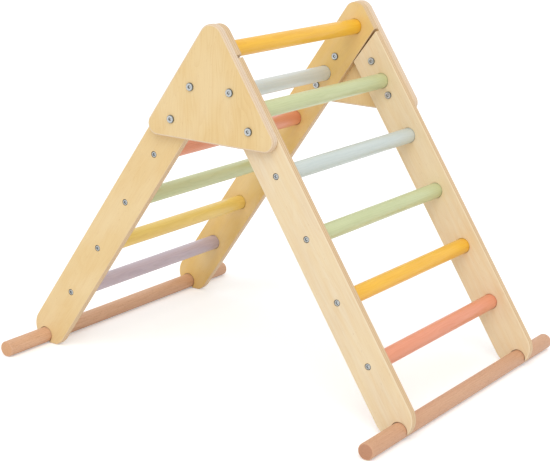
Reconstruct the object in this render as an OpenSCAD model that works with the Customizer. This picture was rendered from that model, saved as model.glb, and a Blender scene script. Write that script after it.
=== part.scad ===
// Folding climbing triangle for small children.
// Two ladders of round wooden rungs between plywood rails lean together, and a plywood
// plate on each side joins them at the top. The rear ladder is bolted to the plates at
// four points. The front ladder turns on the lower pair of its bolts, once the upper pair
// has been taken out, and closes against the rear ladder.
// +X points to the front ladder, +Y runs along the rungs to the far side and +Z is up.
// The origin is on the floor, midway between the base bars and between the two sides.

/* [Ladders] */
// Lean of each ladder from upright, in degrees
lean = 33.5; // [30:0.1:36]
// Width across the outer faces of the rear rails
frame_w = 480; // [350:1:700]
// Width of a rail
rail_w = 76; // [66:1:84]
// Thickness of a rail
rail_t = 15; // [14:0.5:21]
// From the centre of a base bar down to the end of the rail's round foot
foot_reach = 14; // [5:0.5:15]
// Height above the floor at which the foot is cut flat
foot_lift = 0.3; // [0.2:0.1:1]
// Gap between the lower end of a front rail's slanting top and the rear rail
stop_gap = 1.5; // [1:0.5:4]
// How much wider that gap gets up to the outer corner of the front rail's top
stop_taper = 3.5; // [0:0.5:5]

/* [Rungs] */
// Diameter of a rung
rung_d = 30; // [26:1:34]
// Spacing of the rungs along a rail
rung_pitch = 120; // [115:1:135]
// From the centre of a base bar up the rail to the first rung
first_rung = 120; // [110:1:150]
// Depth of the blind pocket that holds a rung's end
pocket_depth = 6; // [4:0.5:7]
// Gap all round a rung in its pocket
pocket_gap = 0.5; // [0.2:0.1:0.8]

/* [Base bars] */
// Diameter of a base bar
bar_d = 30; // [28:1:36]
// Length of a base bar that stands out past the rails at each end
bar_overhang = 110; // [60:1:160]
// Chamfer round the ends of a base bar
bar_chamfer = 1.5; // [0.5:0.1:3]
// Gap all round a base bar in the notch of a rail's foot
notch_gap = 0.8; // [0.2:0.1:1]

/* [Side plates] */
// Thickness of a side plate
plate_t = 15; // [12:0.5:21]
// How far the plate's sloping edges and top stand out past the rails' edges
plate_lip = 1; // [0:0.1:2]
// From the axes of the lower bolts down to the lower edge of the plate
plate_skirt = 33; // [28:1:50]
// Radius of the plate's top
plate_top_r = 26; // [18:1:32]
// Radius of the plate's two lower corners
plate_corner_r = 20; // [14:1:26]

/* [Plate bolts] */
// From the highest front rung up the rails to the upper bolts
upper_bolt_rise = 43.5; // [40:0.5:50]
// From the highest front rung down the rails to the lower bolts
lower_bolt_drop = 31.5; // [28:0.5:40]
// Diameter of a bolt's shank
bolt_d = 6; // [5:0.5:6]
// Diameter of a bolt's low head
bolt_head_d = 14.5; // [12:0.5:17]
// Height of a bolt's head
bolt_head_h = 3; // [2.5:0.1:4]
// Length of thread that a bolt screws into its sleeve nut
bolt_grip = 9; // [6:0.5:9.5]
// Diameter of a sleeve nut's barrel
sleeve_d = 9; // [8.5:0.5:10]
// Length of a sleeve nut's barrel
sleeve_l = 12; // [11:0.5:13]
// Diameter of a sleeve nut's cap
cap_d = 14; // [12:0.5:17]
// Height of a sleeve nut's cap
cap_h = 2.6; // [2.4:0.1:3.5]
// Rounding of the edge of a bolt's head and of a sleeve nut's cap
head_edge_r = 1; // [0.4:0.1:1.4]
// Size of the hexagon key that fits the bolts, the sleeve nuts and the rung screws
key_size = 4; // [3:0.5:4]
// Depth of the hexagon sockets in the bolts, the sleeve nuts and the rung screws
key_depth = 2; // [1.5:0.1:2.2]

/* [Rung screws] */
// Diameter of a rung screw's shank
rung_screw_d = 7; // [5:0.5:7]
// Diameter of a rung screw's head
rung_head_d = 11; // [9:0.5:12]
// Height of a rung screw's head
rung_head_h = 4; // [3:0.1:4.5]
// How far a rung screw's head is sunk below the rail's face
rung_head_sink = 0.4; // [0:0.1:0.8]
// Length of a rung screw under its head
rung_screw_l = 46; // [30:1:60]

/* [Base bar screws] */
// Diameter of a base bar screw's shank
bar_screw_d = 5; // [4:0.5:5]
// Diameter of a base bar screw's head
bar_head_d = 9.5; // [8:0.5:10]
// Height of a base bar screw's head
bar_head_h = 3; // [2.5:0.1:3.5]
// Depth from the bar's skin to the seat of a base bar screw's head
bar_head_seat = 6; // [5:0.5:8]
// Length of a base bar screw under its head
bar_screw_l = 56; // [50:1:65]

/* [Fits] */
// Gap all round a bolt or a sleeve nut in its hole, where the front rail turns
turn_gap = 0.05; // [0.02:0.01:0.1]
// Gap between the front ladder and the plates, bolts and nuts that it swings past
swing_gap = 0.3; // [0.2:0.05:0.5]
// Gap all round a wood screw in its drilled hole
drill_gap = 0.1; // [0.05:0.05:0.3]

/* [Hidden] */
$fn = 96;
arc_steps = 24;
rear = -1;
front = 1;
near = -1;
far = 1;
rear_rungs = 6;
front_rungs = 5;
rear_rung_colours = ["#B9AAB4", "#E8C468", "#BFC48F", "#C8735A", "#BCC9CC", "#F2B84C"];
front_rung_colours = ["#F0A088", "#F5BE58", "#C9D0A0", "#CDD6D2", "#C6CE9E"];
ply = "#EBD3A2";
beech = "#D9A782";
zinc = "#B9BBBD";

// Along a rail, distances are taken from the centre of the base bar.
half_w = rail_w / 2;
foot_rise = half_w - foot_reach;
top_run = first_rung + (rear_rungs - 1) * rung_pitch;
upper_bolt_run = top_run - rung_pitch + upper_bolt_rise;
lower_bolt_run = top_run - rung_pitch - lower_bolt_drop;
bar_z = bar_d / 2;
foot_x = top_run * sin(lean);
apex_z = bar_z + top_run * cos(lean);

// Places across the frame are distances from its middle plane.
rear_outer = frame_w / 2;
rear_inner = rear_outer - rail_t;
front_outer = rear_outer - swing_gap;
front_inner = front_outer - rail_t;
plate_outer = rear_outer + plate_t;
bar_end = rear_outer + bar_overhang;

// The bolts stop short of the bottom of the sleeve nuts' threaded bores.
bore_end_gap = 0.5;
bolt_l = plate_t + rail_t - sleeve_l + bolt_grip;
lock_bolt_l = plate_t - swing_gap;
sleeve_bore = bolt_grip + bore_end_gap;
rung_bore = rung_screw_l - (rail_t - pocket_depth - rung_head_sink - rung_head_h) + 1;
cut = 1;

// Unit steps up a rail and square to it, away from the middle of the triangle
function up(ladder) = [-ladder * sin(lean), cos(lean)];
function outward(ladder) = [ladder * cos(lean), sin(lean)];
// A point on a rail: run along it from the base bar, and out from its centre line
function on_rail(ladder, run, out = 0) =
    [ladder * foot_x, bar_z] + run * up(ladder) + out * outward(ladder);
function rung_run(i) = first_rung + (i - 1) * rung_pitch;
function inner_face(ladder) = ladder == rear ? rear_inner : front_inner;
function outer_face(ladder) = ladder == rear ? rear_outer : front_outer;

// Centres of the plate's rounded top and lower corners
plate_half_w = half_w + plate_lip;
plate_top = [0, apex_z + (plate_half_w - plate_top_r) / sin(lean)];
corner_z = on_rail(front, lower_bolt_run).y - plate_skirt + plate_corner_r;
corner_x = (plate_half_w - plate_corner_r - (corner_z - apex_z) * sin(lean)) / cos(lean);
function plate_corner(ladder) = [ladder * corner_x, corner_z];

// Puts a piece that is drawn on the far side on the side that is asked for
module on_side(side) {
    mirror([0, side == near ? 1 : 0, 0]) children();
}

// A board cut to an upright outline, between two places across the frame
module board(inner, thickness) {
    translate([0, inner + thickness, 0])
        rotate([90, 0, 0])
            linear_extrude(thickness) children();
}

// Points +Z of a piece across the frame, away from the middle, at a place in the outline
module across(at, y) {
    translate([at.x, y, at.y]) rotate([-90, 0, 0]) children();
}

// Points +Z of a piece up a rail, at a place in the outline
module along_rail(ladder, at, y) {
    translate([at.x, y, at.y]) rotate([0, -ladder * lean, 0]) children();
}

// A hexagon socket cut down from a face at z = 0
module key_socket() {
    translate([0, 0, -key_depth]) cylinder(d = key_size / cos(30), h = key_depth + cut, $fn = 6);
}

// A low round head on z = 0, with a rounded upper edge and a hexagon socket
module round_head(d, h) {
    difference() {
        rotate_extrude() {
            square([d / 2, h - head_edge_r]);
            square([d / 2 - head_edge_r, h]);
            translate([d / 2 - head_edge_r, h - head_edge_r])
                intersection() {
                    circle(head_edge_r);
                    square(head_edge_r);
                }
        }
        translate([0, 0, h]) key_socket();
    }
}

// Furniture connector bolt: the head sits on z = 0 and the shank runs down
module connector_bolt(length) {
    color(zinc) {
        round_head(bolt_head_d, bolt_head_h);
        translate([0, 0, -length]) cylinder(d = bolt_d, h = length);
    }
}

// Sleeve nut: the cap's underside is z = 0, and the barrel stands up from it
module sleeve_nut() {
    color(zinc) difference() {
        union() {
            cylinder(d = sleeve_d, h = sleeve_l);
            mirror([0, 0, 1]) round_head(cap_d, cap_h);
        }
        translate([0, 0, sleeve_l - sleeve_bore])
            cylinder(d = bolt_d + 2 * turn_gap, h = sleeve_bore + cut);
    }
}

// Rung screw: the head's seat is z = 0, and the shank runs down into the rung
module rung_screw() {
    color(zinc) {
        difference() {
            cylinder(d = rung_head_d, h = rung_head_h);
            translate([0, 0, rung_head_h]) key_socket();
        }
        translate([0, 0, -rung_screw_l]) cylinder(d = rung_screw_d, h = rung_screw_l);
    }
}

// Base bar screw: the head's seat is z = 0, and the shank runs up into the rail
module bar_screw() {
    color(zinc) {
        translate([0, 0, -bar_head_h]) cylinder(d = bar_head_d, h = bar_head_h);
        cylinder(d = bar_screw_d, h = bar_screw_l);
    }
}

// Points of an arc about a centre, from one angle round to another
function arc(centre, radius, from, to) = [
    for (i = [0:arc_steps])
        let (angle = from + (to - from) * i / arc_steps)
            centre + radius * [cos(angle), sin(angle)]
];

// Points of a rail's round foot, cut flat where it would touch the floor
function foot_points(ladder) =
    let (turn = 180 + ladder * lean)
        [for (p = arc(on_rail(ladder, foot_rise), half_w, turn, turn + 180))
            [p.x, max(p.y, foot_lift)]];

// Outline of a rail: its foot with a notch for the base bar, and its top's points
module rail_outline(ladder, top_points) {
    difference() {
        polygon(concat(foot_points(ladder), top_points));
        translate(on_rail(ladder, 0)) circle(bar_d / 2 + notch_gap);
    }
}

// The rear rail runs up to the apex and is rounded there about the centre of the plate's top.
module rear_outline() {
    rail_outline(rear, concat(
        [[half_w / cos(lean), apex_z]],
        arc(plate_top, plate_top_r - plate_lip, lean, 180 - lean)
    ));
}

// Where a front rail's edge comes within a gap of the rear rail: side 1 is its outer edge
function top_corner(side, gap) = [
    ((1 + side) * half_w + gap) / 2 / cos(lean),
    apex_z - ((1 - side) * half_w + gap) / 2 / sin(lean)
];

// The front rail's top is cut on the slant, to lie along the rear rail that stops it.
module front_outline() {
    rail_outline(front, [top_corner(1, stop_gap + stop_taper), top_corner(-1, stop_gap)]);
}

// Pocket and screw hole for one rung, cut in a far rail of the given ladder
module rung_cut(ladder, run) {
    inner = inner_face(ladder);
    outer = outer_face(ladder);
    across(on_rail(ladder, run), inner - cut)
        cylinder(d = rung_d + 2 * pocket_gap, h = pocket_depth + cut);
    across(on_rail(ladder, run), inner)
        cylinder(d = rung_screw_d + 2 * drill_gap, h = rail_t + cut);
    across(on_rail(ladder, run), outer - rung_head_sink - rung_head_h)
        cylinder(d = rung_head_d + 2 * drill_gap, h = rung_head_h + rung_head_sink + cut);
}

// Hole along the rail for the screw that holds the base bar
module bar_screw_hole(ladder) {
    along_rail(ladder, on_rail(ladder, bar_head_seat - bar_d / 2), inner_face(ladder) + rail_t / 2)
        cylinder(d = bar_screw_d + 2 * drill_gap, h = bar_screw_l + cut);
}

module rail(ladder, rungs) {
    inner = inner_face(ladder);
    color(ply) difference() {
        board(inner, rail_t) children();
        for (i = [1:rungs]) rung_cut(ladder, rung_run(i));
        for (run = [upper_bolt_run, lower_bolt_run])
            across(on_rail(ladder, run), inner - cut)
                cylinder(d = sleeve_d + 2 * turn_gap, h = rail_t + 2 * cut);
        bar_screw_hole(ladder);
    }
}

module rear_rail(side) {
    on_side(side) rail(rear, rear_rungs) rear_outline();
}

module front_rail(side) {
    on_side(side) rail(front, front_rungs) front_outline();
}

// A rung reaches the floor of its pocket at both ends, and is drilled for its screws.
module rung(ladder, i, colour) {
    reach = inner_face(ladder) + pocket_depth;
    color(colour) difference() {
        across(on_rail(ladder, rung_run(i)), -reach) cylinder(d = rung_d, h = 2 * reach);
        for (side = [near, far])
            on_side(side) across(on_rail(ladder, rung_run(i)), reach - rung_bore)
                cylinder(d = rung_screw_d + 2 * drill_gap, h = rung_bore + cut);
    }
}

// Head recess and clearance hole in a base bar, for the screw into the far rail
module bar_screw_cut(ladder) {
    along_rail(ladder, on_rail(ladder, bar_head_seat - bar_d / 2), inner_face(ladder) + rail_t / 2) {
        translate([0, 0, -bar_d]) cylinder(d = bar_head_d + 2 * drill_gap, h = bar_d);
        cylinder(d = bar_screw_d + 2 * drill_gap, h = bar_d);
    }
}

module base_bar(ladder) {
    color(beech) difference() {
        across(on_rail(ladder, 0), -bar_end) {
            cylinder(d1 = bar_d - 2 * bar_chamfer, d2 = bar_d, h = bar_chamfer);
            translate([0, 0, bar_chamfer])
                cylinder(d = bar_d, h = 2 * (bar_end - bar_chamfer));
            translate([0, 0, 2 * bar_end - bar_chamfer])
                cylinder(d1 = bar_d, d2 = bar_d - 2 * bar_chamfer, h = bar_chamfer);
        }
        for (side = [near, far]) on_side(side) bar_screw_cut(ladder);
    }
}

module plate_outline() {
    polygon(concat(
        arc(plate_top, plate_top_r, lean, 180 - lean),
        arc(plate_corner(rear), plate_corner_r, 180 - lean, 270),
        arc(plate_corner(front), plate_corner_r, -90, lean)
    ));
}

module side_plate(side) {
    on_side(side) color(ply) difference() {
        board(rear_outer, plate_t) plate_outline();
        for (ladder = [rear, front], run = [upper_bolt_run, lower_bolt_run])
            across(on_rail(ladder, run), rear_outer - cut)
                cylinder(d = bolt_d + 2 * turn_gap, h = plate_t + 2 * cut);
    }
}

module rung_screws(ladder, rungs, side) {
    seat = outer_face(ladder) - rung_head_sink - rung_head_h;
    on_side(side)
        for (i = [1:rungs]) across(on_rail(ladder, rung_run(i)), seat) rung_screw();
}

module bar_screws(ladder) {
    seat = bar_head_seat - bar_d / 2;
    for (side = [near, far])
        on_side(side)
            along_rail(ladder, on_rail(ladder, seat), inner_face(ladder) + rail_t / 2) bar_screw();
}

module rear_plate_bolts(side) {
    on_side(side)
        for (run = [upper_bolt_run, lower_bolt_run])
            across(on_rail(rear, run), plate_outer) connector_bolt(bolt_l);
}

module rear_sleeve_nuts(side) {
    on_side(side)
        for (run = [upper_bolt_run, lower_bolt_run])
            across(on_rail(rear, run), rear_inner) sleeve_nut();
}

// The lower front bolt and its sleeve nut are the pin on which the front ladder turns.
module pivot_bolt(side) {
    on_side(side) across(on_rail(front, lower_bolt_run), plate_outer) connector_bolt(bolt_l);
}

module pivot_sleeve_nut(side) {
    on_side(side) across(on_rail(front, lower_bolt_run), front_inner - swing_gap) sleeve_nut();
}

// The upper front bolt holds the ladder open. Its shank is drawn only as far as the
// plate's inner face, so that the front rail, with its sleeve nut, can swing past it.
module lock_bolt(side) {
    on_side(side)
        across(on_rail(front, upper_bolt_run), plate_outer + swing_gap)
            connector_bolt(lock_bolt_l);
}

module lock_sleeve_nut(side) {
    on_side(side) across(on_rail(front, upper_bolt_run), front_inner) sleeve_nut();
}

rear_rail(near);  // rear_rail_near
rear_rail(far);  // rear_rail_far
front_rail(near);  // front_rail_near
front_rail(far);  // front_rail_far
for (i = [1:rear_rungs])
    rung(rear, i, rear_rung_colours[i - 1]);
for (i = [1:front_rungs])
    rung(front, i, front_rung_colours[i - 1]);
base_bar(rear);  // rear_base_bar
base_bar(front);  // front_base_bar
side_plate(near);  // side_plate_near
side_plate(far);  // side_plate_far
rung_screws(rear, rear_rungs, near);  // rear_rung_screws_near
rung_screws(rear, rear_rungs, far);  // rear_rung_screws_far
rung_screws(front, front_rungs, near);  // front_rung_screws_near
rung_screws(front, front_rungs, far);  // front_rung_screws_far
bar_screws(rear);  // rear_bar_screws
bar_screws(front);  // front_bar_screws
rear_plate_bolts(near);  // rear_plate_bolts_near
rear_plate_bolts(far);  // rear_plate_bolts_far
rear_sleeve_nuts(near);  // rear_sleeve_nuts_near
rear_sleeve_nuts(far);  // rear_sleeve_nuts_far
pivot_bolt(near);  // pivot_bolt_near
pivot_bolt(far);  // pivot_bolt_far
pivot_sleeve_nut(near);  // pivot_sleeve_nut_near
pivot_sleeve_nut(far);  // pivot_sleeve_nut_far
lock_bolt(near);  // lock_bolt_near
lock_bolt(far);  // lock_bolt_far
lock_sleeve_nut(near);  // lock_sleeve_nut_near
lock_sleeve_nut(far);  // lock_sleeve_nut_far
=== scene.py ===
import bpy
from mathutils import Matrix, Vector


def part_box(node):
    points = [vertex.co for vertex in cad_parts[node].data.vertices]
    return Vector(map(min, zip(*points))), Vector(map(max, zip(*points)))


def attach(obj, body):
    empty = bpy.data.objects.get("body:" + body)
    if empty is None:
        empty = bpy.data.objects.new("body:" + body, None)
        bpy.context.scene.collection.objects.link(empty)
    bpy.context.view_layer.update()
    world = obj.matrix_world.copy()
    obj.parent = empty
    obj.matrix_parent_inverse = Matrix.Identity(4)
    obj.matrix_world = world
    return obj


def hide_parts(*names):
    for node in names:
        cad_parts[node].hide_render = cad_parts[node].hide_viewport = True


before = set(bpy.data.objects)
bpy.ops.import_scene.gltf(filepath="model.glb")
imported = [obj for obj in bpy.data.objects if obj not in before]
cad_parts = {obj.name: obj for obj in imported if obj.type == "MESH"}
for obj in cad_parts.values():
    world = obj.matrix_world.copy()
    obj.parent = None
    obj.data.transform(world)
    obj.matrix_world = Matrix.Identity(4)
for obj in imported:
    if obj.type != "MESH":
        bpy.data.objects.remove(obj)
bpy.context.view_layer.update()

import math
import random

import bmesh
import bpy
from mathutils import Matrix, Vector

scene = bpy.context.scene
random.seed(11)

# ---- Rails --------------------------------------------------------------------------
# Two boards to a ladder, of 15 mm birch plywood. Each is routed to shape with rounded
# edges, bored for its rungs, screws and bolts, and notched at the foot to sit over its
# base bar. The front rails are then sawn off on the slant, to rest against the rear ones.
ladders = {"rear": -1, "front": 1}
bodies = {"rear": "fixed_frame", "front": "folding_ladder"}
sides = {"near": -1, "far": 1}
rungs_on = {"rear": 6, "front": 5}
rail_width = 0.076
rail_edge_radii = {"rear": 0.0015, "front": 0.0025}
# A foot reaches past its base bar's middle, and is cut flat just above the floor
foot_reach = 0.014
foot_lift = 0.0003
apex_radius = 0.025
# The front rail's sawn top clears the rear rail, by more at its outer edge. Until it is sawn
# off, waste runs on past the apex.
stop_gap = 0.0015
stop_taper = 0.0035
sawn_waste = 0.01
rung_radius = 0.015
pocket_clearance = 0.0006
pocket_depth = 0.006
notch_clearance = 0.0013
rung_screw_head = {"radius": 0.0055, "height": 0.004, "sink": 0.0004}
screw_recess_radius = 0.0061
screw_hole_radius = 0.0036
nut_hole_radius = 0.00455
# The bolts and nuts were pulled up so tight that their heads have pressed rings in the wood
pressed_radius = 0.0074
pressed_depth = 0.0003
# How far every cutter reaches past the faces of a board, to cut clean through
past = 0.002
# How warm and dark each board's veneer is drawn, from the palest at 0: partly each sheet's own
# tone, and on the far rails partly painted shade for the shade inside the frame
rail_tones_and_shade = {
    "front_rail_near": 0.0,
    "front_rail_far": 0.08,
    "rear_rail_near": 0.55,
    "rear_rail_far": 0.9,
}


def spot(node):
    """The middle of a node in the side view: how far to the front, and how high"""
    low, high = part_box(node)
    return Vector(((low.x + high.x) / 2, (low.z + high.z) / 2))


def reach(node):
    """How far a node's inner and outer faces are from the middle plane"""
    low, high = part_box(node)
    return sorted((abs(low.y), abs(high.y)))


apex = spot("rear_rung_6")
bar_spots = {ladder: spot(f"{ladder}_base_bar") for ladder in ladders}
bar_radius = bar_spots["front"].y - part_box("front_base_bar")[0].z
lean = math.atan2(bar_spots["front"].x, apex.y - bar_spots["front"].y)
apex_centre = apex + Vector((0, (rail_width / 2 - apex_radius) / math.sin(lean)))
front_bolts = [spot("lock_bolt_near"), spot("pivot_bolt_near")]
bolt_spots = {"front": front_bolts, "rear": [Vector((-at.x, at.y)) for at in front_bolts]}
rung_spots = {}
for ladder, count in rungs_on.items():
    rung_spots[ladder] = [spot(f"{ladder}_rung_{i + 1}") for i in range(count)]


def up_rail(ladder):
    """The way up a ladder's rails, in the side view"""
    return Vector((-ladders[ladder] * math.sin(lean), math.cos(lean)))


def across_rail(ladder):
    """The way across them, towards their outer edges"""
    return Vector((ladders[ladder] * math.cos(lean), math.sin(lean)))


def arc(centre, radius, start, end, steps=40):
    """Points about a centre, from one angle round to another"""
    angles = [start + (end - start) * i / steps for i in range(steps + 1)]
    return [centre + radius * Vector((math.cos(a), math.sin(a))) for a in angles]


def rail_outline(ladder):
    """A rail before it is bored: a round foot, cut flat just above the floor, straight sides,
    and a rounded apex on the rear rail or, on the front one, waste above the saw cut"""
    turn = math.pi + ladders[ladder] * lean
    foot = bar_spots[ladder] + (rail_width / 2 - foot_reach) * up_rail(ladder)
    curve = arc(foot, rail_width / 2, turn, turn + math.pi)
    outline = [Vector((point.x, max(point.y, foot_lift))) for point in curve]
    if ladder == "rear":
        outline.append(apex + Vector((rail_width / 2 / math.cos(lean), 0)))
        return outline + arc(apex_centre, apex_radius, lean, math.pi - lean)
    for side in (1, -1):
        edge = apex + side * rail_width / 2 * across_rail(ladder)
        outline.append(edge + sawn_waste * up_rail(ladder))
    return outline


def inset(outline, depth):
    """The outline drawn in by a depth, its corners kept sharp"""
    moved = []
    for i, point in enumerate(outline):
        before = (point - outline[i - 1]).normalized()
        after = (outline[(i + 1) % len(outline)] - point).normalized()
        out_before = Vector((before.y, -before.x))
        out_after = Vector((after.y, -after.x))
        mitre = (out_before + out_after) / (1 + out_before.dot(out_after))
        moved.append(point - depth * mitre)
    return moved


def closed(name, vertices, polygons):
    """A new object of a closed mesh, with its faces turned outward"""
    mesh = bpy.data.meshes.new(name)
    mesh.from_pydata(vertices, [], polygons)
    turned_out = bmesh.new()
    turned_out.from_mesh(mesh)
    bmesh.ops.recalc_face_normals(turned_out, faces=turned_out.faces)
    turned_out.to_mesh(mesh)
    turned_out.free()
    piece = bpy.data.objects.new(name, mesh)
    scene.collection.objects.link(piece)
    return piece


def rounded_over(radius, steps):
    """A rounded edge in steps: how far each lies in from the side, and how far below the flat"""
    angles = [math.pi / 2 * i / steps for i in range(steps + 1)]
    return [(radius * (1 - math.sin(a)), radius * (1 - math.cos(a))) for a in angles]


def slab(name, outline, side, inner, outer, edge_radius, steps=5):
    """A board on one side of the frame, with its edges rounded over on both faces"""
    edge = rounded_over(edge_radius, steps)
    levels = [(depth, inner + drop) for depth, drop in edge]
    levels += [(depth, outer - drop) for depth, drop in reversed(edge)]
    rings = [[(p.x, sides[side] * y, p.y) for p in inset(outline, depth)] for depth, y in levels]
    count = len(outline)
    last = (len(rings) - 1) * count
    polygons = [list(range(count)), list(range(last, last + count))]
    for start in range(0, last, count):
        for i in range(count):
            j = (i + 1) % count
            polygons.append([start + i, start + j, start + count + j, start + count + i])
    return closed(name, [vertex for ring in rings for vertex in ring], polygons)


def outward(side, at, y):
    """A stand whose Z axis points out of one side of the frame, at a place in its side view"""
    turn = Matrix.Rotation(-sides[side] * math.pi / 2, 4, "X")
    return Matrix.Translation((at.x, sides[side] * y, at.y)) @ turn


def turned(profile, stand, steps=72):
    """A profile turned about the Z axis of a stand. Its points are (radius, height) from one
    end of the axis to the other. A third value gives the rim that many corners, and the radius
    is then half the width across its flats."""
    vertices = [stand @ Vector((0, 0, profile[0][1])), stand @ Vector((0, 0, profile[-1][1]))]
    rims = profile[1:-1]
    for radius, height, *corners in rims:
        for i in range(steps):
            angle = 2 * math.pi * i / steps
            r = radius
            if corners:
                flat = 2 * math.pi / corners[0]
                r = radius / math.cos(angle % flat - flat / 2)
            vertices.append(stand @ Vector((r * math.cos(angle), r * math.sin(angle), height)))
    last = 2 + (len(rims) - 1) * steps
    polygons = []
    for i in range(steps):
        j = (i + 1) % steps
        polygons.append([0, 2 + j, 2 + i])
        polygons.append([1, last + i, last + j])
        for start in range(2, last, steps):
            polygons.append([start + i, start + j, start + steps + j, start + steps + i])
    return vertices, polygons


def together(name, shapes):
    """One object of several closed shapes"""
    vertices, polygons = [], []
    for points, faces in shapes:
        polygons += [[len(vertices) + i for i in face] for face in faces]
        vertices += points
    return closed(name, vertices, polygons)


def bore(piece, shapes):
    """Cuts closed shapes out of a piece"""
    cutter = together("cutter", shapes)
    cut = piece.modifiers.new("bore", "BOOLEAN")
    cut.object = cutter
    cut.solver = "EXACT"
    whole = piece.evaluated_get(bpy.context.evaluated_depsgraph_get())
    bored = bpy.data.meshes.new_from_object(whole)
    piece.modifiers.clear()
    piece.data = bored
    bpy.data.objects.remove(cutter)


def hole(radius, start, end):
    """The profile of a plain round hole"""
    return [(0, start), (radius, start), (radius, end), (0, end)]


def sawn_corner(edge, gap):
    """Where the front rail's outer edge, 1, or inner edge, -1, comes within a gap of the rear
    rail"""
    beside = (1 + edge) * rail_width / 2 + gap
    below = (1 - edge) * rail_width / 2 + gap
    return apex + Vector((beside / 2 / math.cos(lean), -below / 2 / math.sin(lean)))


def sawn_off(side, inner, outer):
    """The waste above the front rail's slanting top, as a block behind the saw's line"""
    low = sawn_corner(-1, stop_gap)
    high = sawn_corner(1, stop_gap + stop_taper)
    along = high - low
    behind = 2 * rail_width * Vector((-along.y, along.x)).normalized()
    corners = [low - along, high + along, high + along + behind, low - along + behind]
    vertices = []
    for y in (inner - past, outer + past):
        vertices += [Vector((p.x, sides[side] * y, p.y)) for p in corners]
    polygons = [[0, 1, 2, 3], [4, 5, 6, 7], [0, 1, 5, 4], [1, 2, 6, 5], [2, 3, 7, 6], [3, 0, 4, 7]]
    return vertices, polygons


def rail_cuts(ladder, side, inner, outer):
    """Everything that is bored or sawn out of one rail"""
    thick = outer - inner
    seat = thick - rung_screw_head["sink"] - rung_screw_head["height"]
    pocket_radius = rung_radius + pocket_clearance
    rung_bore = [
        (0, -past),
        (pocket_radius, -past),
        (pocket_radius, pocket_depth),
        (screw_hole_radius, pocket_depth),
        (screw_hole_radius, seat),
        (screw_recess_radius, seat),
        (screw_recess_radius, thick + past),
        (0, thick + past),
    ]
    cuts = [turned(rung_bore, outward(side, at, inner)) for at in rung_spots[ladder]]
    bolt_bore = [
        (0, -past),
        (pressed_radius, -past),
        (pressed_radius, pressed_depth),
        (nut_hole_radius, pressed_depth),
        (nut_hole_radius, thick + past),
        (0, thick + past),
    ]
    cuts += [turned(bolt_bore, outward(side, at, inner)) for at in bolt_spots[ladder]]
    notch = hole(bar_radius + notch_clearance, -past, thick + past)
    cuts.append(turned(notch, outward(side, bar_spots[ladder], inner)))
    if ladder == "front":
        cuts.append(sawn_off(side, inner, outer))
    return cuts


# Each piece starts at a place of its own in this many metres of wood
wood_stock = 9


def mark_wood(piece, along, origin):
    """Stores where each vertex lies in its own stretch of wood: metres along the grain,
    across it, and into the board from its inner face"""
    beside = Vector((-along.z, 0, along.x))
    start = random.uniform(0, wood_stock)
    places = piece.data.attributes.new("wood", "FLOAT_VECTOR", "POINT")
    for vertex, place in zip(piece.data.vertices, places.data):
        away = vertex.co - origin
        place.vector = (away.dot(along) + start, away.dot(beside) + start, abs(away.y))


def mark_tone(piece, tone):
    """Stores one tone for a whole piece: how warm its veneer is drawn, partly painted shade on the
    far rails, or how dark its beech
    """
    places = piece.data.attributes.new("tone", "FLOAT", "POINT")
    for place in places.data:
        place.value = tone


def linear(hex_colour):
    """The linear colour of an sRGB hex value"""
    values = [int(hex_colour[i : i + 2], 16) / 255 for i in (1, 3, 5)]
    shades = [v / 12.92 if v <= 0.04045 else ((v + 0.055) / 1.055) ** 2.4 for v in values]
    return (*shades, 1)


def add(tree, kind, inputs=None, **settings):
    """Adds a node with its settings, and gives its sockets their values or links"""
    made = tree.nodes.new(kind)
    for key, value in settings.items():
        setattr(made, key, value)
    for socket, value in (inputs or {}).items():
        if isinstance(value, bpy.types.NodeSocket):
            tree.links.new(value, made.inputs[socket])
        else:
            made.inputs[socket].default_value = value
    return made


def finish(name, **values):
    """A new material with values on its shader's own sockets"""
    material = bpy.data.materials.new(name)
    material.use_nodes = True
    shader = material.node_tree.nodes["Principled BSDF"]
    for socket, value in values.items():
        shader.inputs[socket.replace("_", " ")].default_value = value
    return material, material.node_tree, shader


def streaks(tree, wood, size, low, high, strength, detail=2.0):
    """How much of a shade shows in streaks of a real size in millimetres: along the grain,
    across it and in depth. It is none where the noise is low, and the strength where high."""
    to_noise = [1000 / step for step in size]
    scaled = add(tree, "ShaderNodeVectorMath", {0: wood, 1: to_noise}, operation="MULTIPLY")
    fog = {0: scaled.outputs[0], "Scale": 1.0, "Detail": detail}
    noise = add(tree, "ShaderNodeTexNoise", fog).outputs[0]
    shown = {"Value": noise, "From Min": low, "From Max": high, "To Max": strength}
    return add(tree, "ShaderNodeMapRange", shown).outputs[0]


def shade_of(colour):
    """What a colour socket takes: a hex value turned to linear, or another node's colour"""
    return linear(colour) if isinstance(colour, str) else colour


# The sockets of a Mix node that take its share and its two colours, and the one that gives
# the mixed colour
mix_share, mix_below, mix_above, mixed = 0, 6, 7, 2


def laid_over(tree, colour, *shades):
    """Shades laid over a colour one after another, each with its share"""
    for share, shade in shades:
        pair = {mix_share: share, mix_below: shade_of(colour), mix_above: shade_of(shade)}
        colour = add(tree, "ShaderNodeMix", pair, data_type="RGBA").outputs[mixed]
    return colour


def late_wood(tree, years, start, strength):
    """The late wood, which darkens from its start in each year's growth to the year's end, up
    to a strength"""
    season = add(tree, "ShaderNodeMath", {0: years}, operation="FRACT").outputs[0]
    dark = {"Value": season, "From Min": start, "To Max": strength}
    return add(tree, "ShaderNodeMapRange", dark).outputs[0]


def contours(tree, wood, size, rings, strength):
    """The growth rings as the peeling knife lays them open, in long nested ovals like the
    contours on a map"""
    years = streaks(tree, wood, size, 0.2, 0.8, rings, detail=1.0)
    return late_wood(tree, years, 0.35, strength)


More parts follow.
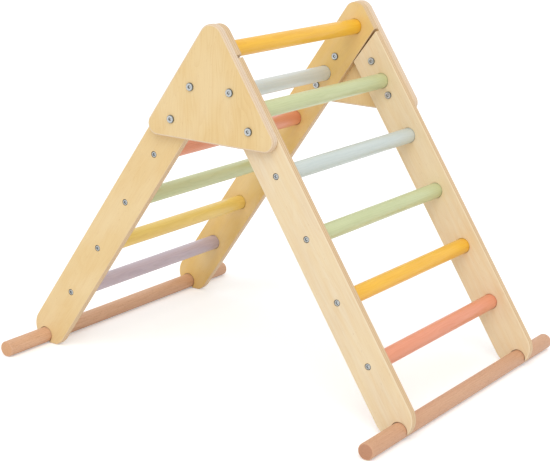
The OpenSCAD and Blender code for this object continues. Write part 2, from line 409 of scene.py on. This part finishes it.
def birch_veneer(name, figure):
    """Rotary-cut birch, sanded and sealed with clear satin lacquer: an even pale cream, with
    faint broad flames and fine fibres along the grain, and now and then a brown pith fleck.
    The fibres are drawn 1.2 mm wide, about twice their real width, so that they show."""
    material, tree, shader = finish(
        f"{name}_satin_lacquered_birch_veneer", IOR=1.5, Coat_Weight=0.2, Coat_Roughness=0.3
    )
    wood = add(tree, "ShaderNodeAttribute", attribute_name="wood").outputs["Vector"]
    tone = add(tree, "ShaderNodeAttribute", attribute_name="tone").outputs["Fac"]
    rings = contours(tree, wood, (180, 30, 60), rings=7, strength=figure)
    flames = streaks(tree, wood, (190, 11, 40), 0.42, 0.68, 0.35, detail=3.0)
    pale_patches = streaks(tree, wood, (120, 60, 60), 0.4, 0.65, 0.35)
    dark_fibres = streaks(tree, wood, (45, 1.2, 20), 0.5, 0.75, 0.22)
    pith_flecks = streaks(tree, wood, (8, 1.0, 20), 0.78, 0.86, 0.4, detail=0.0)
    colour = laid_over(
        tree,
        "#EBD7B6",
        # The board's tone: its own warmth, and on the far rails partly painted shade
        (tone, "#E6BE66"),
        (rings, "#D8B070"),
        (flames, "#E4C083"),
        (pale_patches, "#F2DDB2"),
        (dark_fibres, "#D3AA70"),
        (pith_flecks, "#B1814C"),
    )
    tree.links.new(colour, shader.inputs["Base Color"])
    fibres = streaks(tree, wood, (45, 1.2, 20), 0.3, 0.75, 1.0)
    satin = {"Value": fibres, "To Min": 0.42, "To Max": 0.52}
    rough = add(tree, "ShaderNodeMapRange", satin)
    tree.links.new(rough.outputs[0], shader.inputs["Roughness"])
    bump = add(tree, "ShaderNodeBump", {"Height": fibres, "Strength": 0.2, "Distance": 0.0001})
    tree.links.new(bump.outputs[0], shader.inputs["Normal"])
    return material


plies = 11
board_thickness = 0.015
ply_thickness = board_thickness / plies
# How far the plies wander from straight, and in plies from a board's face, where the sanded
# veneer fades out
ply_wander = 0.0006
veneer_fade = (0.8, 1.1)
# In plies too: how softly long grain turns to end grain, and the breadth of a glue line
grain_turn = 0.15
glue_breadth = 0.1
glue_strength = 0.5


def birch_plies(name, long_grain, end_grain_shade, cream_and_highlight_share):
    """The routed and sanded edge: eleven plies, laid along and across in turn, so that long
    grain and end grain make paler and darker stripes, with a thin brown glue line between.
    The face veneer, sanded through on the rounded edge, shows as a thin cream line: partly its own
    paler wood, partly a painted highlight on the rounding, which the board's tone darkens as
    painted shade on the rear rails."""
    material, tree, shader = finish(
        f"{name}_birch_plywood_edge", IOR=1.5, Roughness=0.5, Coat_Weight=0.15, Coat_Roughness=0.35
    )
    wood = add(tree, "ShaderNodeAttribute", attribute_name="wood").outputs["Vector"]
    depth = add(tree, "ShaderNodeSeparateXYZ", {0: wood}).outputs["Z"]
    fold = {0: depth, 1: board_thickness / 2}
    from_face = add(tree, "ShaderNodeMath", fold, operation="PINGPONG").outputs[0]
    full, gone = [ply_thickness * depth_in_plies for depth_in_plies in veneer_fade]
    skin = {"Value": from_face, "From Min": gone, "From Max": full, "To Max": cream_and_highlight_share}
    # The cream line's share: partly the sanded-through veneer, partly a painted highlight
    veneer_line_and_highlight = add(tree, "ShaderNodeMapRange", skin).outputs[0]
    tone = add(tree, "ShaderNodeAttribute", attribute_name="tone").outputs["Fac"]
    # Its colour is paler than the face as a painted highlight, and the tone darkens it as painted
    # shade
    veneer = laid_over(tree, "#F3E2C1", (tone, "#DDB982"))
    wave = streaks(tree, wood, (70, 70, 30), 0.0, 1.0, ply_wander)
    waved = add(tree, "ShaderNodeMath", {0: depth, 1: wave}, operation="ADD").outputs[0]
    ply = add(tree, "ShaderNodeMath", {0: waved, 1: ply_thickness}, operation="DIVIDE").outputs[0]
    from_glue = add(tree, "ShaderNodeMath", {0: ply, 1: 1.0}, operation="PINGPONG").outputs[0]
    in_pair = add(tree, "ShaderNodeMath", {0: ply, 1: 2.0}, operation="PINGPONG").outputs[0]
    turned_ply = {"Value": in_pair, "From Min": 1 - grain_turn, "From Max": 1 + grain_turn}
    end_grain = add(tree, "ShaderNodeMapRange", turned_ply).outputs[0]
    line = {"Value": from_glue, "From Min": glue_breadth, "From Max": 0.0, "To Max": glue_strength}
    glue = add(tree, "ShaderNodeMapRange", line).outputs[0]
    patches = streaks(tree, wood, (90, 90, 20), 0.4, 0.65, 0.35)
    dark_pores = streaks(tree, wood, (2, 2, 0.5), 0.45, 0.7, 0.3)
    colour = laid_over(
        tree,
        long_grain,
        (end_grain, end_grain_shade),
        (patches, end_grain_shade),
        (dark_pores, "#B48C60"),
        (glue, "#9A7047"),
        (veneer_line_and_highlight, veneer),
    )
    tree.links.new(colour, shader.inputs["Base Color"])
    pores = streaks(tree, wood, (2, 2, 0.5), 0.3, 0.7, 1.0)
    bump = add(tree, "ShaderNodeBump", {"Height": pores, "Strength": 0.15, "Distance": 0.0002})
    tree.links.new(bump.outputs[0], shader.inputs["Normal"])
    return material


rail_finish = birch_veneer("plain", figure=0.14)
# The cream line, partly a painted highlight, is strong on the rails' edges and faint on the
# plates' edges
rail_edge_finish = birch_plies("lacquered", "#E9CDA3", "#D7B487", cream_and_highlight_share=0.7)
# The sawn top's dark browns are painted shade, for the dark slit between the rails
sawn_top_shade = birch_plies("sawn", "#B88E5C", "#8F6639", cream_and_highlight_share=0.0)

# How square to a board its veneered faces are, and to the saw's line its sawn top, as the
# cosine of the angle
face_square = 0.9999
sawn_square = 0.999
board_crease = math.radians(30)


def finish_board(piece, face_finish, edge_finish, along, inner_face, tone):
    """Veneer on the flat faces, plies everywhere else, and the grain along a direction"""
    piece.data.materials.clear()
    piece.data.materials.append(face_finish)
    piece.data.materials.append(edge_finish)
    for polygon in piece.data.polygons:
        on_face = abs(polygon.normal.y) > face_square
        polygon.material_index = 0 if on_face else 1
        polygon.use_smooth = not on_face
    piece.data.set_sharp_from_angle(angle=board_crease)
    mark_wood(piece, Vector((along.x, 0, along.y)), Vector((0, inner_face, 0)))
    mark_tone(piece, tone)


def shade_sawn_top(rail):
    """Paints the front rail's slanting top dark brown: painted shade for the narrow slit between
    it and the rear rail
    """
    along = sawn_corner(1, stop_gap + stop_taper) - sawn_corner(-1, stop_gap)
    up = Vector((-along.y, 0, along.x)).normalized()
    rail.data.materials.append(sawn_top_shade)
    for polygon in rail.data.polygons:
        if polygon.normal.dot(up) > sawn_square:
            polygon.material_index = 2


for ladder in ladders:
    for side in sides:
        node = f"{ladder}_rail_{side}"
        inner, outer = reach(node)
        radius = rail_edge_radii[ladder]
        rail = slab(f"{node}_board", rail_outline(ladder), side, inner, outer, radius)
        bore(rail, rail_cuts(ladder, side, inner, outer))
        inner_face = sides[side] * inner
        # On the far rails the tone darkens the veneer as painted shade
        tone = rail_tones_and_shade[node]
        finish_board(rail, rail_finish, rail_edge_finish, up_rail(ladder), inner_face, tone)
        if ladder == "front":
            shade_sawn_top(rail)
        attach(rail, bodies[ladder])
        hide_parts(node)

# ---- Rungs --------------------------------------------------------------------------
# Eleven beech dowels of 30 mm, each stained one colour and sealed. Their ends stand in
# the rails' blind pockets, where a screw from outside pulls each one tight.
stains = {
    "lavender": ("#C7B7C2", "#B09EAA"),
    "yellow": ("#F9C02C", "#E9A614"),
    "straw": ("#F6D371", "#E2BA55"),
    "green": ("#CED5A3", "#B8C18B"),
    "coral": ("#EE9C79", "#DB835A"),
    "blue": ("#D2DBD7", "#BDC9C5"),
    # The blue stain made paler as painted light, for the rear rung in the shade under the apex
    "blue_with_painted_light": ("#DEE5E3", "#CBD5D3"),
}
rung_stains = {
    "rear": ("lavender", "straw", "green", "coral", "blue_with_painted_light", "yellow"),
    "front": ("coral", "yellow", "green", "blue", "green"),
}
rung_easing = 0.0008
# The log's growth rings: how far apart, how far they wander, and how near to and far from
# the log's heart a dowel is cut
ring_spacing = 0.0028
ring_wander = 0.012
heart_near = 0.05
heart_far = 0.11
dowel_crease = math.radians(50)


def growth_rings(tree, wood, strength):
    """Late wood, dark at the end of each year's ring about the log's heart, up to a strength"""
    beside = add(tree, "ShaderNodeVectorMath", {0: wood, 1: (0, 1, 1)}, operation="MULTIPLY")
    from_heart = add(tree, "ShaderNodeVectorMath", {0: beside.outputs[0]}, operation="LENGTH")
    wander = streaks(tree, wood, (120, 30, 30), 0.0, 1.0, ring_wander)
    sum_up = {0: from_heart.outputs["Value"], 1: wander}
    wavering = add(tree, "ShaderNodeMath", sum_up, operation="ADD").outputs[0]
    years = add(tree, "ShaderNodeMath", {0: wavering, 1: ring_spacing}, operation="DIVIDE")
    return late_wood(tree, years.outputs[0], 0.4, strength)


def stained_beech(name, thin, deep):
    """Beech wiped with a water stain and sealed: soft satin colour, laid thin on the smooth
    early wood and deeper in the late wood and pores, so faint lines follow the grain.
    The pores are drawn 1 mm wide, several times their real width, so that they show."""
    material, tree, shader = finish(
        f"{name}_stained_beech", IOR=1.5, Coat_Weight=0.3, Coat_Roughness=0.25
    )
    wood = add(tree, "ShaderNodeAttribute", attribute_name="wood").outputs["Vector"]
    rings = growth_rings(tree, wood, strength=0.3)
    cloudy_wiping = streaks(tree, wood, (140, 14, 14), 0.4, 0.65, 0.3)
    dark_pores = streaks(tree, wood, (30, 1, 1), 0.5, 0.75, 0.35)
    colour = laid_over(tree, thin, (rings, deep), (cloudy_wiping, deep), (dark_pores, deep))
    tree.links.new(colour, shader.inputs["Base Color"])
    pores = streaks(tree, wood, (30, 1, 1), 0.3, 0.75, 1.0)
    satin = {"Value": pores, "To Min": 0.36, "To Max": 0.48}
    rough = add(tree, "ShaderNodeMapRange", satin)
    tree.links.new(rough.outputs[0], shader.inputs["Roughness"])
    bump = add(tree, "ShaderNodeBump", {"Height": pores, "Strength": 0.15, "Distance": 0.0001})
    tree.links.new(bump.outputs[0], shader.inputs["Normal"])
    return material


def dowel(name, at, length, radius, easing, steps=4):
    """A dowel across the frame, with its ends rounded over a little"""
    half = length / 2
    end = [(radius - depth, half - drop) for depth, drop in rounded_over(easing, steps)]
    profile = [(0, -half)] + [(r, -h) for r, h in end] + [(r, h) for r, h in reversed(end)]
    profile.append((0, half))
    return closed(name, *turned(profile, outward("far", at, 0)))


def mark_log(piece, at):
    """Stores where each vertex lies in its log: along the grain, and two ways from the heart"""
    angle = random.uniform(0, 2 * math.pi)
    distance = random.uniform(heart_near, heart_far)
    heart = distance * Vector((math.cos(angle), math.sin(angle)))
    start = random.uniform(0, wood_stock)
    places = piece.data.attributes.new("wood", "FLOAT_VECTOR", "POINT")
    for vertex, place in zip(piece.data.vertices, places.data):
        from_heart = Vector((vertex.co.x, vertex.co.z)) - at + heart
        place.vector = (vertex.co.y + start, from_heart.x, from_heart.y)


def smooth(piece, crease):
    """Shades a turned piece smooth, except where it turns by more than the crease angle"""
    piece.data.shade_smooth()
    piece.data.set_sharp_from_angle(angle=crease)


stain_finishes = {name: stained_beech(name, *shades) for name, shades in stains.items()}
for ladder in ladders:
    for i, (at, stain) in enumerate(zip(rung_spots[ladder], rung_stains[ladder]), 1):
        node = f"{ladder}_rung_{i}"
        low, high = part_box(node)
        rung = dowel(f"{node}_dowel", at, high.y - low.y, rung_radius, rung_easing)
        mark_log(rung, at)
        smooth(rung, dowel_crease)
        rung.data.materials.append(stain_finishes[stain])
        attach(rung, bodies[ladder])
        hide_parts(node)

# ---- Base bars ----------------------------------------------------------------------
# Two 30 mm dowels of steamed beech, oiled, on which the frame stands. They reach past the
# rails on both sides, so that it can't tip sideways, and have recesses below for the screws.
bar_easing = 0.002
bar_screw_seat = 0.006
bar_recess_radius = 0.00485
# How dark each bar's beech is, from the palest at 0
bar_tones = {"rear": 0.0, "front": 1.0}
# How square to the bar its end grain is, as the cosine of the angle
end_square = 0.99


def oiled_beech():
    """Steamed beech under oil: pinkish brown, with faint rings, long fine pores and the
    short brown flecks of its rays. The pores are drawn 0.9 mm wide so that they show."""
    material, tree, shader = finish("oiled_steamed_beech", IOR=1.5, Roughness=0.5)
    wood = add(tree, "ShaderNodeAttribute", attribute_name="wood").outputs["Vector"]
    tone = add(tree, "ShaderNodeAttribute", attribute_name="tone").outputs["Fac"]
    rings = growth_rings(tree, wood, strength=0.35)
    flames = streaks(tree, wood, (170, 12, 12), 0.4, 0.65, 0.4)
    dark_pores = streaks(tree, wood, (40, 0.9, 0.9), 0.48, 0.75, 0.4)
    ray_flecks = streaks(tree, wood, (5, 0.9, 0.9), 0.64, 0.76, 0.35, detail=0.0)
    colour = laid_over(
        tree,
        "#E0B491",
        (tone, "#D7A987"),
        (rings, "#C8936C"),
        (flames, "#CF9D78"),
        (dark_pores, "#B98462"),
        (ray_flecks, "#A87150"),
    )
    tree.links.new(colour, shader.inputs["Base Color"])
    pores = streaks(tree, wood, (40, 0.9, 0.9), 0.3, 0.75, 1.0)
    bump = add(tree, "ShaderNodeBump", {"Height": pores, "Strength": 0.15, "Distance": 0.0001})
    tree.links.new(bump.outputs[0], shader.inputs["Normal"])
    return material


def beech_end_grain():
    """The sawn and sanded end, which drinks more oil: darker and more orange, with the rings
    plain to see and the open pores as dots. The dots are drawn 0.9 mm wide so that they show."""
    material, tree, shader = finish("oiled_beech_end_grain", IOR=1.5, Roughness=0.6)
    wood = add(tree, "ShaderNodeAttribute", attribute_name="wood").outputs["Vector"]
    tone = add(tree, "ShaderNodeAttribute", attribute_name="tone").outputs["Fac"]
    rings = growth_rings(tree, wood, strength=0.5)
    open_pores = streaks(tree, wood, (9, 0.9, 0.9), 0.5, 0.7, 0.5)
    colour = laid_over(
        tree,
        "#E0AE83",
        (tone, "#C38F70"),
        (rings, "#B07A56"),
        (open_pores, "#9F6A4A"),
    )
    tree.links.new(colour, shader.inputs["Base Color"])
    return material


def under_bar(ladder, side):
    """A stand on the floor of a bar's recess, in line with the rail, whose Z axis points up"""
    seat = bar_spots[ladder] + (bar_screw_seat - bar_radius) * up_rail(ladder)
    beside = sides[side] * sum(reach(f"{ladder}_rail_{side}")) / 2
    leaning = Matrix.Rotation(-ladders[ladder] * lean, 4, "Y")
    return Matrix.Translation((seat.x, beside, seat.y)) @ leaning


beech_finish = oiled_beech()
end_finish = beech_end_grain()
for ladder in ladders:
    node = f"{ladder}_base_bar"
    low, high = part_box(node)
    bar = dowel(f"{node}_dowel", bar_spots[ladder], high.y - low.y, bar_radius, bar_easing)
    recess = hole(bar_recess_radius, -2 * bar_radius, 0)
    bore(bar, [turned(recess, under_bar(ladder, side)) for side in sides])
    mark_log(bar, bar_spots[ladder])
    mark_tone(bar, bar_tones[ladder])
    smooth(bar, dowel_crease)
    bar.data.materials.clear()
    bar.data.materials.append(beech_finish)
    bar.data.materials.append(end_finish)
    for polygon in bar.data.polygons:
        polygon.material_index = 1 if abs(polygon.normal.y) > end_square else 0
    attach(bar, bodies[ladder])
    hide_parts(node)

# ---- Side plates --------------------------------------------------------------------
# Two triangles of the same plywood, with the veneer's grain upright and rounded edges.
# They lie outside the rails, stand out past them a little, and are held by four bolts each.
plate_lip = 0.001
plate_edge_radius = 0.003
plate_corner_radius = 0.02
plate_bolt_radius = 0.00305
plate_tone = 0.58
plate_finish = birch_veneer("figured", figure=0.32)
plate_edge_finish = birch_plies("well_sanded", "#F0DCC2", "#E3C8A9", cream_and_highlight_share=0.3)


def plate_outline(foot):
    """The plate's top is rounded about the same centre as the rear rails' tops"""
    corner_height = foot + plate_corner_radius
    beside = rail_width / 2 + plate_lip - plate_corner_radius
    corner_x = (beside - (corner_height - apex.y) * math.sin(lean)) / math.cos(lean)
    corner = Vector((corner_x, corner_height))
    opposite = Vector((-corner.x, corner.y))
    outline = arc(apex_centre, apex_radius + plate_lip, lean, math.pi - lean)
    outline += arc(opposite, plate_corner_radius, math.pi - lean, 1.5 * math.pi)
    return outline + arc(corner, plate_corner_radius, -0.5 * math.pi, lean)


for side in sides:
    node = f"side_plate_{side}"
    inner, outer = reach(node)
    outline = plate_outline(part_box(node)[0].z)
    plate = slab(f"{node}_board", outline, side, inner, outer, plate_edge_radius)
    pressed_floor = outer - inner - pressed_depth
    bolt_hole = [
        (0, -past),
        (plate_bolt_radius, -past),
        (plate_bolt_radius, pressed_floor),
        (pressed_radius, pressed_floor),
        (pressed_radius, outer - inner + past),
        (0, outer - inner + past),
    ]
    bolts = bolt_spots["rear"] + bolt_spots["front"]
    bore(plate, [turned(bolt_hole, outward(side, at, inner)) for at in bolts])
    inner_face = sides[side] * inner
    upright = Vector((0, 1))
    finish_board(plate, plate_finish, plate_edge_finish, upright, inner_face, plate_tone)
    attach(plate, "fixed_frame")
    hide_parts(node)

# ---- Screws, bolts and sleeve nuts --------------------------------------------------
# Zinc-plated steel with hexagon sockets. Bolts and sleeve nuts clamp the rails to the
# side plates, a long screw is sunk in the rail at each end of each rung, and two more
# go up through each base bar into the rails' feet.
hexagon = 6
socket_half_width = 0.0022
socket_depth = 0.0022
socket_chamfer = 0.0006
socket_drill_point = socket_half_width / 4
head_rounding = 0.0013
bolt_head = {"radius": 0.00725, "height": 0.003}
bolt_radius = 0.003
thread_pitch = 0.001
thread_depth = 0.0004
nut_cap = {"radius": 0.007, "height": 0.0026}
nut_barrel_radius = 0.0045
nut_bore = {"radius": 0.00305, "depth": 0.0095}
rung_screw_radius = 0.0034
bar_screw = {"radius": 0.0025, "length": 0.056, "head_radius": 0.00475, "head_height": 0.003}
bar_screw_rounding = 0.001
fastener_crease = math.radians(35)
# How square to the fastener's axis its flats are, as the cosine of the angle
flat_square = 0.9


def zinc_plate(name, silver, speck):
    """Zinc plating on steel: a cool silver, uneven in its shine from the bath, so that duller
    grey specks lie between bright ones. They are drawn 1.2 mm wide so that they show."""
    material, tree, shader = finish(f"{name}_zinc_plated_steel", Metallic=1.0)
    place = add(tree, "ShaderNodeTexCoord").outputs["Object"]
    specks = streaks(tree, place, (1.2, 1.2, 1.2), 0.3, 0.7, 1.0)
    colour = laid_over(tree, silver, (specks, speck))
    tree.links.new(colour, shader.inputs["Base Color"])
    uneven = {"Value": specks, "To Min": 0.18, "To Max": 0.36}
    rough = add(tree, "ShaderNodeMapRange", uneven)
    tree.links.new(rough.outputs[0], shader.inputs["Roughness"])
    return material


def head(radius, base, top, rounding, steps=4):
    """The outside of a round head with a rounded rim, and its hexagon socket"""
    edge = reversed(rounded_over(rounding, steps))
    rim = [(radius - depth, top - drop) for depth, drop in edge]
    mouth = socket_half_width / math.cos(math.pi / hexagon) + socket_chamfer
    floor_height = top - socket_depth
    socket = [
        (mouth, top),
        (socket_half_width, top - socket_chamfer, hexagon),
        (socket_half_width, floor_height, hexagon),
        (0, floor_height - socket_drill_point),
    ]
    return [(radius, base)] + rim + socket


def threaded(radius, start, end):
    """A thread as a row of sharp rings, one to each turn"""
    turns = int((end - start) / thread_pitch)
    rings = []
    for i in range(turns):
        rings.append((radius - thread_depth, start + i * thread_pitch))
        rings.append((radius, start + (i + 0.5) * thread_pitch))
    return rings + [(radius, end)]


def bolt_profile(length):
    """A bolt that stands with its head's underside on the stand, in its pressed ring"""
    shank = [(0, -length)] + threaded(bolt_radius, -length, -pressed_depth)
    return shank + head(bolt_head["radius"], -pressed_depth, bolt_head["height"], head_rounding)


def nut_profile(length):
    """The sleeve nut stands on its cap, so the socket is at the lower end"""
    cap = head(nut_cap["radius"], -pressed_depth, nut_cap["height"], head_rounding)
    flipped = [(radius, -height, *corners) for radius, height, *corners in reversed(cap)]
    floor_height = length - nut_bore["depth"]
    barrel = [
        (nut_barrel_radius, pressed_depth),
        (nut_barrel_radius, length),
        (nut_bore["radius"], length),
    ]
    return flipped + barrel + [(nut_bore["radius"], floor_height), (0, floor_height)]


def rung_screw_profile(length):
    """A long screw with the underside of its head on the stand"""
    top = rung_screw_head["height"]
    shank = [(0, -length)] + threaded(rung_screw_radius, -length, 0)
    return shank + head(rung_screw_head["radius"], 0, top, head_rounding)


def bar_screw_profile():
    """A thinner screw with a low head, for the base bars"""
    shank = [(0, -bar_screw["length"])]
    shank += threaded(bar_screw["radius"], -bar_screw["length"], 0)
    top = bar_screw["head_height"]
    return shank + head(bar_screw["head_radius"], 0, top, bar_screw_rounding)


bright_zinc = zinc_plate("bright", "#D0D3D2", "#A6AAAC")
# A darker grey for the rims, sockets and threads: painted shade
shaded_zinc = zinc_plate("dull", "#818485", "#606365")


def fasten(node, body, profile, stands):
    """Puts one turned fastener on each stand, for a CAD node of such fasteners. The plating is
    bright where the head is flat; on the rim, in the socket and on the thread it is painted
    darker, as painted shade."""
    piece = together(f"{node}_turned", [turned(profile, stand) for stand in stands])
    smooth(piece, fastener_crease)
    piece.data.materials.append(bright_zinc)
    piece.data.materials.append(shaded_zinc)
    axis = stands[0].col[2].to_3d()
    for polygon in piece.data.polygons:
        polygon.material_index = 0 if abs(polygon.normal.dot(axis)) > flat_square else 1
    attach(piece, body)
    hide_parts(node)


for side in sides:
    for ladder in ladders:
        node = f"{ladder}_rung_screws_{side}"
        inner, outer = reach(node)
        seat = outer - rung_screw_head["height"]
        stands = [outward(side, at, seat) for at in rung_spots[ladder]]
        fasten(node, bodies[ladder], rung_screw_profile(seat - inner), stands)
    locking, turning = bolt_spots["front"]
    bolt_rows = {
        f"rear_plate_bolts_{side}": ("fixed_frame", bolt_spots["rear"]),
        f"pivot_bolt_{side}": ("fixed_frame", [turning]),
        f"lock_bolt_{side}": (f"lock_bolt_{side}", [locking]),
    }
    for node, (body, places) in bolt_rows.items():
        inner, outer = reach(node)
        seat = outer - bolt_head["height"]
        fasten(node, body, bolt_profile(seat - inner), [outward(side, at, seat) for at in places])
    nut_rows = {
        f"rear_sleeve_nuts_{side}": ("fixed_frame", bolt_spots["rear"]),
        f"pivot_sleeve_nut_{side}": ("fixed_frame", [turning]),
        f"lock_sleeve_nut_{side}": ("folding_ladder", [locking]),
    }
    for node, (body, places) in nut_rows.items():
        inner, outer = reach(node)
        seat = inner + nut_cap["height"]
        fasten(node, body, nut_profile(outer - seat), [outward(side, at, seat) for at in places])

head_down = Matrix.Rotation(math.pi, 4, "X")
for ladder in ladders:
    stands = [under_bar(ladder, side) @ head_down for side in sides]
    fasten(f"{ladder}_bar_screws", bodies[ladder], bar_screw_profile(), stands)

# ---- Studio -------------------------------------------------------------------------
# A pale floor that runs out of sight, even white light from all round, and one broad
# lamp, high on the right and in front, which gives the soft shadows their direction.
floor_half_size = 40.0
floor_drop = 0.0001
floor_lift = 0.3
fill_strength = 0.8
key_strength = 0.95
key_azimuth = math.radians(25)
key_elevation = math.radians(50)
key_breadth = math.radians(40)


def seen_or_mirrored(tree):
    """One for rays from the camera and for those mirrored in metal, zero for all others"""
    path = add(tree, "ShaderNodeLightPath")
    either = {0: path.outputs["Is Camera Ray"], 1: path.outputs["Is Glossy Ray"]}
    return add(tree, "ShaderNodeMath", either, operation="MAXIMUM").outputs[0]


def matt_floor():
    """Matt white paint, lifted towards white where it is seen, so only its shadow shows"""
    material, tree, shader = finish("matt_white_floor", Roughness=0.9, Specular_IOR_Level=0.0)
    shader.inputs["Base Color"].default_value = linear("#F2F2F2")
    shader.inputs["Emission Color"].default_value = linear("#FFFFFF")
    lifted = {0: seen_or_mirrored(tree), 1: floor_lift}
    lift = add(tree, "ShaderNodeMath", lifted, operation="MULTIPLY").outputs[0]
    tree.links.new(lift, shader.inputs["Emission Strength"])
    return material


half = floor_half_size
floor_corners = [(-half, -half), (half, -half), (half, half), (-half, half)]
floor_mesh = bpy.data.meshes.new("floor")
floor_mesh.from_pydata([(x, y, -floor_drop) for x, y in floor_corners], [], [[0, 1, 2, 3]])
floor_mesh.materials.append(matt_floor())
floor = bpy.data.objects.new("floor", floor_mesh)
scene.collection.objects.link(floor)

world = bpy.data.worlds.new("studio")
world.use_nodes = True
scene.world = world
surround = world.node_tree
backdrop = {"Value": seen_or_mirrored(surround), "To Min": fill_strength, "To Max": 1.0}
level = add(surround, "ShaderNodeMapRange", backdrop)
surround.links.new(level.outputs[0], surround.nodes["Background"].inputs["Strength"])
surround.nodes["Background"].inputs["Color"].default_value = linear("#FFFFFF")

key_data = bpy.data.lights.new("key", "SUN")
key_data.energy = key_strength
key_data.angle = key_breadth
key = bpy.data.objects.new("key", key_data)
towards_key = Vector(
    (
        math.sin(key_azimuth) * math.cos(key_elevation),
        -math.cos(key_azimuth) * math.cos(key_elevation),
        math.sin(key_elevation),
    )
)
key.rotation_euler = towards_key.to_track_quat("Z", "Y").to_euler()
scene.collection.objects.link(key)
scene.view_settings.view_transform = "Standard"

# ---- Camera -------------------------------------------------------------------------
# A long lens, from the folding ladder's side and a little above the top rung. It is not
# quite level: the frame's uprights lean to the right in the picture.
picture_width = 550
focal_length_px = 1544.9
sensor_width = 36.0
view_azimuth = math.radians(33.42)
view_elevation = math.radians(15.195)
view_roll = math.radians(1.78)
view_from = Vector((1.5536, -2.3905, 1.02))

aim = Vector(
    (
        -math.sin(view_azimuth) * math.cos(view_elevation),
        math.cos(view_azimuth) * math.cos(view_elevation),
        -math.sin(view_elevation),
    )
)
level_right = Vector((math.cos(view_azimuth), math.sin(view_azimuth), 0))
camera_right = Matrix.Rotation(view_roll, 3, -aim) @ level_right
camera_axes = Matrix((camera_right, camera_right.cross(aim), -aim)).transposed()
camera_data = bpy.data.cameras.new("camera")
camera_data.sensor_width = sensor_width
camera_data.lens = focal_length_px * sensor_width / picture_width
camera = bpy.data.objects.new("camera", camera_data)
camera.matrix_world = Matrix.Translation(view_from) @ camera_axes.to_4x4()
scene.collection.objects.link(camera)
scene.camera = camera
